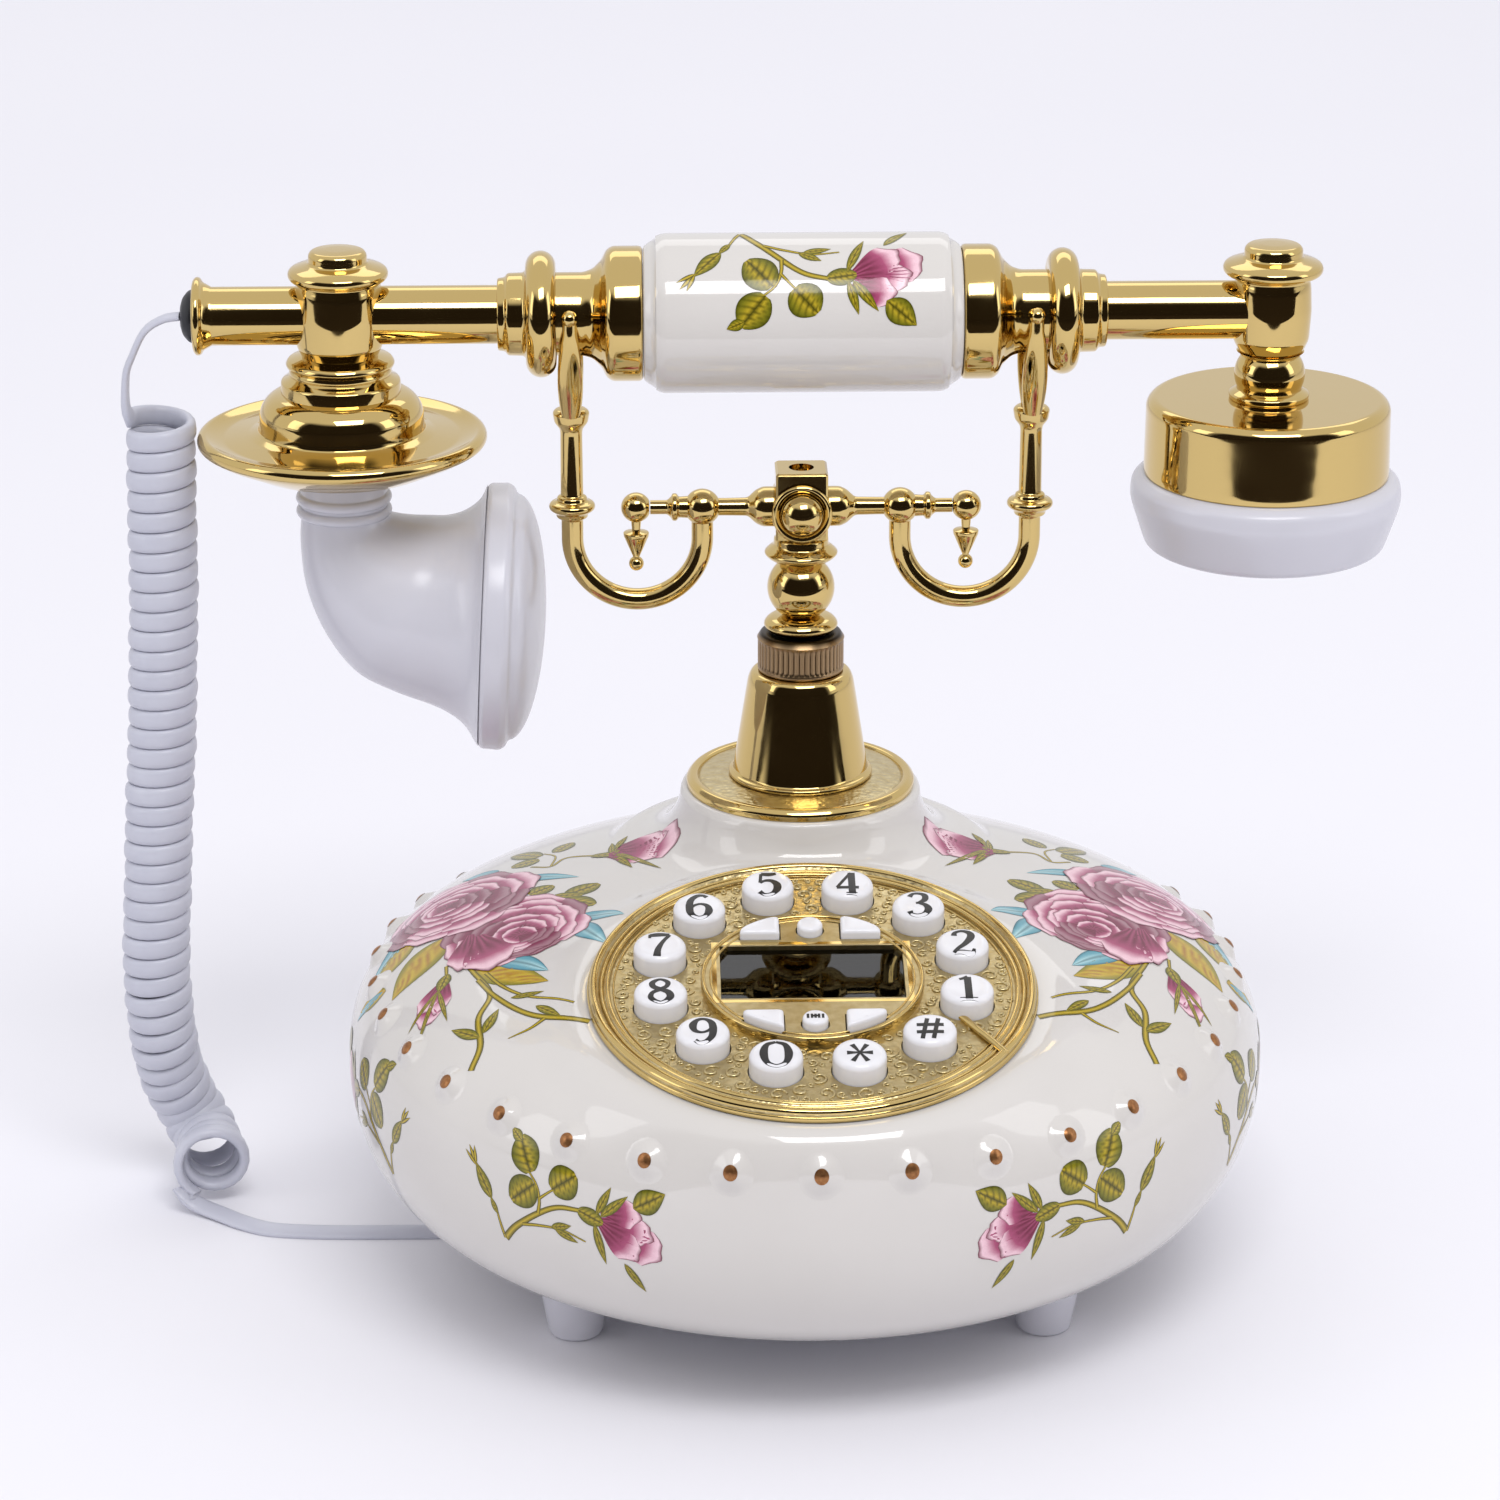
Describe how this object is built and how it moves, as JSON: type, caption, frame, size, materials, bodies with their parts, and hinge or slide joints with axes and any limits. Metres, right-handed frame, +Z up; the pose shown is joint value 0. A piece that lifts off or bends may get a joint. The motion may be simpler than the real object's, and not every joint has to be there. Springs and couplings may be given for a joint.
{
  "type": "desk telephone",
  "caption": "Ornate desk telephone: round glazed ceramic base with a push-button dial plate, gold column with forked cradle, handset with horn transmitter and curly cord.",
  "frame": {"origin": "on the desk under the middle of the round ceramic body, which is also the middle of the whole object without its cord", "axes": "+X along the handset towards its receiver, +Y to the back, +Z up; the dial faces -Y"},
  "size_m": [0.3093, 0.218, 0.2448],
  "materials": {
    "white_glaze": "white glaze with printed rose transfers, high gloss",
    "base_plastic": "moulded, satin gloss",
    "white_plastic": "moulded, gloss",
    "embossed_gold": "gold plate over an embossed scroll pattern",
    "polished_gold": "gold plate, mirror polish",
    "antique_brass": "knurled, darkened brass",
    "steel": "zinc plated",
    "circuit_board": "solder mask",
    "black_plastic": "moulded, matte",
    "black_rubber": "moulded rubber",
    "smoked_window": "smoked acrylic",
    "lcd_glass": "liquid crystal panel in a bezel",
    "silicone": "moulded silicone",
    "key_plastic": "moulded, gloss, printed digits",
    "cord_vinyl": "extruded vinyl, satin"
  },
  "bodies": {
    "base": {"body_shell": "white_glaze", "base_plate": "base_plastic", "feet": "base_plastic", "base_screws": "steel", "main_board": "circuit_board", "ringer": "black_plastic", "jack_block": "black_plastic", "dial_plate": "embossed_gold", "lcd_window": "smoked_window", "lcd_module": "lcd_glass", "key_mat": "silicone", "key_board": "circuit_board", "column_flange": "embossed_gold", "column_cone": "polished_gold", "knurled_nut": "antique_brass", "hook_switch": "black_plastic", "hook_spring": "steel", "cord_lead_upper": "cord_vinyl", "cord_coil": "cord_vinyl", "cord_lead_lower": "cord_vinyl"},
    "cradle": {"cradle_stem": "polished_gold", "cradle_hub": "polished_gold", "fork_left": "polished_gold", "fork_right": "polished_gold", "drop_finials": "polished_gold"},
    "handset": {"grip_sleeve": "white_glaze", "collar_left": "polished_gold", "collar_right": "polished_gold", "mic_tube": "polished_gold", "ear_tube": "polished_gold", "tie_rod": "steel", "mic_knob": "polished_gold", "ear_knob": "polished_gold", "mic_saucer": "polished_gold", "horn": "white_plastic", "horn_cap": "white_plastic", "microphone": "black_plastic", "receiver_shell": "polished_gold", "ear_cap": "white_plastic", "ear_speaker": "black_plastic", "cord_grommet": "black_rubber"},
    "key_1": {"key_1": "key_plastic"},
    "key_2": {"key_2": "key_plastic"},
    "key_3": {"key_3": "key_plastic"},
    "key_4": {"key_4": "key_plastic"},
    "key_5": {"key_5": "key_plastic"},
    "key_6": {"key_6": "key_plastic"},
    "key_7": {"key_7": "key_plastic"},
    "key_8": {"key_8": "key_plastic"},
    "key_9": {"key_9": "key_plastic"},
    "key_0": {"key_0": "key_plastic"},
    "key_star": {"key_star": "key_plastic"},
    "key_hash": {"key_hash": "key_plastic"},
    "key_redial": {"key_redial": "key_plastic"},
    "key_up": {"key_up": "key_plastic"},
    "key_flash": {"key_flash": "key_plastic"},
    "key_volume": {"key_volume": "key_plastic"},
    "key_call_back": {"key_call_back": "key_plastic"},
    "key_down": {"key_down": "key_plastic"}
  },
  "joints": [
    {"name": "handset_lift", "type": "slide", "parent": "base", "child": "handset", "axis": [0, 0, 1], "range_m": [0, 0.08], "deforming": ["cord_lead_upper", "cord_coil"]},
    {"name": "cradle_rise", "type": "slide", "parent": "base", "child": "cradle", "axis": [0, 0, 1], "range_m": [0, 0.0035], "deforming": ["hook_spring"]},
    {"name": "key_1_press", "type": "slide", "parent": "base", "child": "key_1", "axis": [0, 0.1942, -0.981], "range_m": [0, 0.0012], "stiffness_N_per_m": 250, "springref_m": -0.001},
    {"name": "key_2_press", "type": "slide", "parent": "base", "child": "key_2", "axis": [0, 0.1942, -0.981], "range_m": [0, 0.0012], "stiffness_N_per_m": 250, "springref_m": -0.001},
    {"name": "key_3_press", "type": "slide", "parent": "base", "child": "key_3", "axis": [0, 0.1942, -0.981], "range_m": [0, 0.0012], "stiffness_N_per_m": 250, "springref_m": -0.001},
    {"name": "key_4_press", "type": "slide", "parent": "base", "child": "key_4", "axis": [0, 0.1942, -0.981], "range_m": [0, 0.0012], "stiffness_N_per_m": 250, "springref_m": -0.001},
    {"name": "key_5_press", "type": "slide", "parent": "base", "child": "key_5", "axis": [0, 0.1942, -0.981], "range_m": [0, 0.0012], "stiffness_N_per_m": 250, "springref_m": -0.001},
    {"name": "key_6_press", "type": "slide", "parent": "base", "child": "key_6", "axis": [0, 0.1942, -0.981], "range_m": [0, 0.0012], "stiffness_N_per_m": 250, "springref_m": -0.001},
    {"name": "key_7_press", "type": "slide", "parent": "base", "child": "key_7", "axis": [0, 0.1942, -0.981], "range_m": [0, 0.0012], "stiffness_N_per_m": 250, "springref_m": -0.001},
    {"name": "key_8_press", "type": "slide", "parent": "base", "child": "key_8", "axis": [0, 0.1942, -0.981], "range_m": [0, 0.0012], "stiffness_N_per_m": 250, "springref_m": -0.001},
    {"name": "key_9_press", "type": "slide", "parent": "base", "child": "key_9", "axis": [0, 0.1942, -0.981], "range_m": [0, 0.0012], "stiffness_N_per_m": 250, "springref_m": -0.001},
    {"name": "key_0_press", "type": "slide", "parent": "base", "child": "key_0", "axis": [0, 0.1942, -0.981], "range_m": [0, 0.0012], "stiffness_N_per_m": 250, "springref_m": -0.001},
    {"name": "key_star_press", "type": "slide", "parent": "base", "child": "key_star", "axis": [0, 0.1942, -0.981], "range_m": [0, 0.0012], "stiffness_N_per_m": 250, "springref_m": -0.001},
    {"name": "key_hash_press", "type": "slide", "parent": "base", "child": "key_hash", "axis": [0, 0.1942, -0.981], "range_m": [0, 0.0012], "stiffness_N_per_m": 250, "springref_m": -0.001},
    {"name": "key_redial_press", "type": "slide", "parent": "base", "child": "key_redial", "axis": [0, 0.1942, -0.981], "range_m": [0, 0.001], "stiffness_N_per_m": 250, "springref_m": -0.001},
    {"name": "key_up_press", "type": "slide", "parent": "base", "child": "key_up", "axis": [0, 0.1942, -0.981], "range_m": [0, 0.001], "stiffness_N_per_m": 250, "springref_m": -0.001},
    {"name": "key_flash_press", "type": "slide", "parent": "base", "child": "key_flash", "axis": [0, 0.1942, -0.981], "range_m": [0, 0.001], "stiffness_N_per_m": 250, "springref_m": -0.001},
    {"name": "key_volume_press", "type": "slide", "parent": "base", "child": "key_volume", "axis": [0, 0.1942, -0.981], "range_m": [0, 0.001], "stiffness_N_per_m": 250, "springref_m": -0.001},
    {"name": "key_call_back_press", "type": "slide", "parent": "base", "child": "key_call_back", "axis": [0, 0.1942, -0.981], "range_m": [0, 0.001], "stiffness_N_per_m": 250, "springref_m": -0.001},
    {"name": "key_down_press", "type": "slide", "parent": "base", "child": "key_down", "axis": [0, 0.1942, -0.981], "range_m": [0, 0.001], "stiffness_N_per_m": 250, "springref_m": -0.001}
  ],
  "couplings": [
    {"joint": "cradle_rise", "follows": "handset_lift", "ratio": 0.04375}
  ]
}
